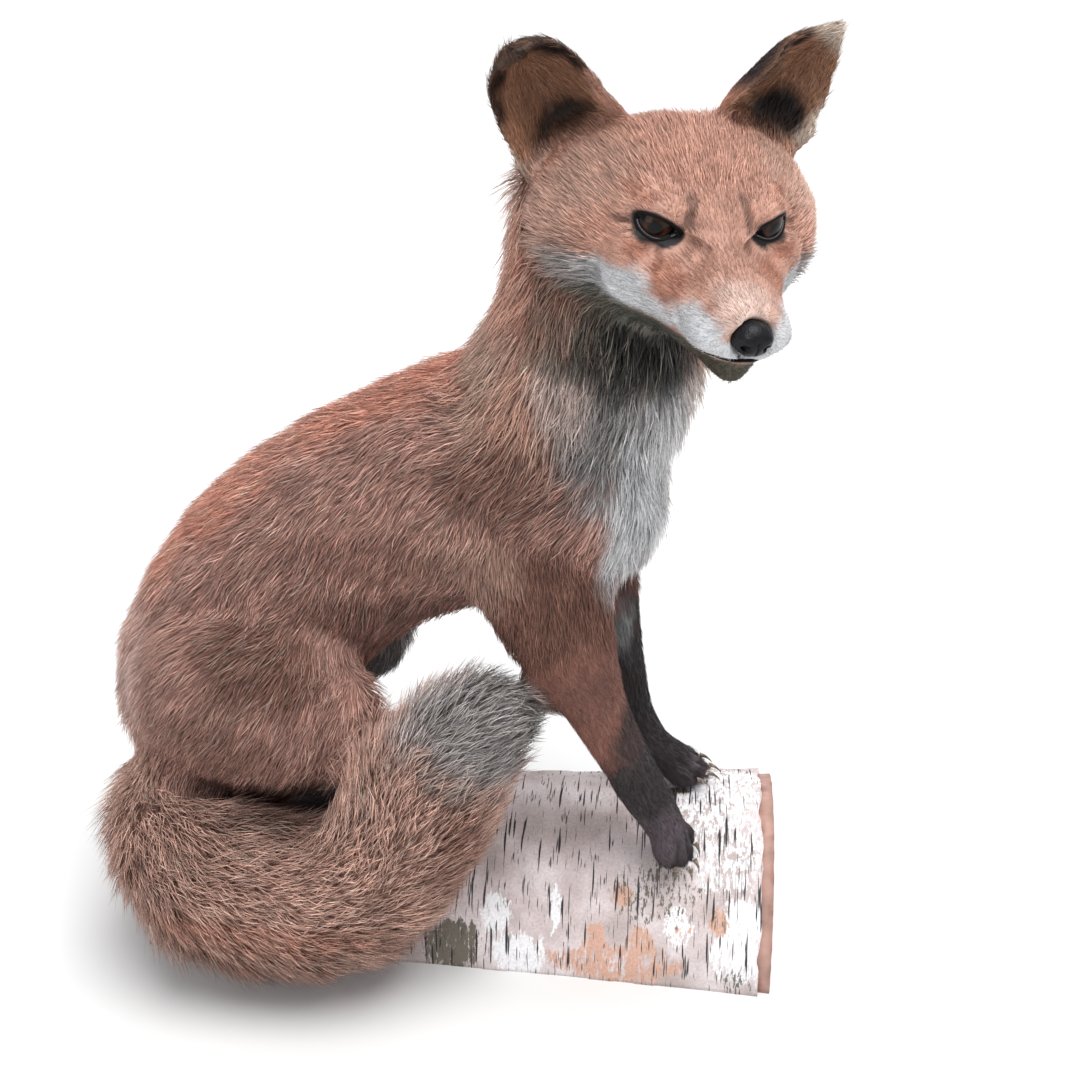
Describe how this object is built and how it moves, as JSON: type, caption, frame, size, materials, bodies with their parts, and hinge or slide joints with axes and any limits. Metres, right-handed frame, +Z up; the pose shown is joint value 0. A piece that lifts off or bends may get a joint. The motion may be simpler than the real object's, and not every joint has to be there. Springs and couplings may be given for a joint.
{
  "type": "taxidermy fox on a log",
  "caption": "Life-size mounted red fox sitting on a half-round birch log, head turned to its right, tail laid round the front; a display piece with a flat underside.",
  "frame": {"origin": "middle of the log's flat underside", "axes": "+X along the log, the way the fox's body faces; +Y to the fox's left; +Z up"},
  "size_m": [0.4103, 0.2447, 0.5382],
  "materials": {
    "fur": "dense red-brown fur with pale and dark hairs mixed in, whitish on the throat, cheeks and muzzle",
    "fur_black": "short blackish brown fur",
    "eye_glass": "polished glass eye, dark brown iris",
    "nose_leather": "black pebbled nose leather, half gloss",
    "claw": "dull horn",
    "birch_bark": "pale papery birch bark with thin dark lines and peeled patches",
    "birch_wood": "sawn wood and pinkish orange inner bark"
  },
  "bodies": {
    "root": {"log_wood": "birch_wood", "log_bark": "birch_bark", "eye_right": "eye_glass", "eye_left": "eye_glass", "nose": "nose_leather", "head": "fur", "jaw": "fur", "ear_right": "fur", "ear_left": "fur", "neck": "fur", "trunk": "fur", "upper_arm_right": "fur", "forearm_right": "fur", "forepaw_right": "fur_black", "upper_arm_left": "fur", "forearm_left": "fur_black", "forepaw_left": "fur_black", "thigh_right": "fur", "shank_right": "fur", "hind_foot_right": "fur_black", "thigh_left": "fur", "shank_left": "fur", "hind_foot_left": "fur_black", "tail_base": "fur", "tail_middle": "fur", "tail_tip": "fur"}
  },
  "joints": []
}
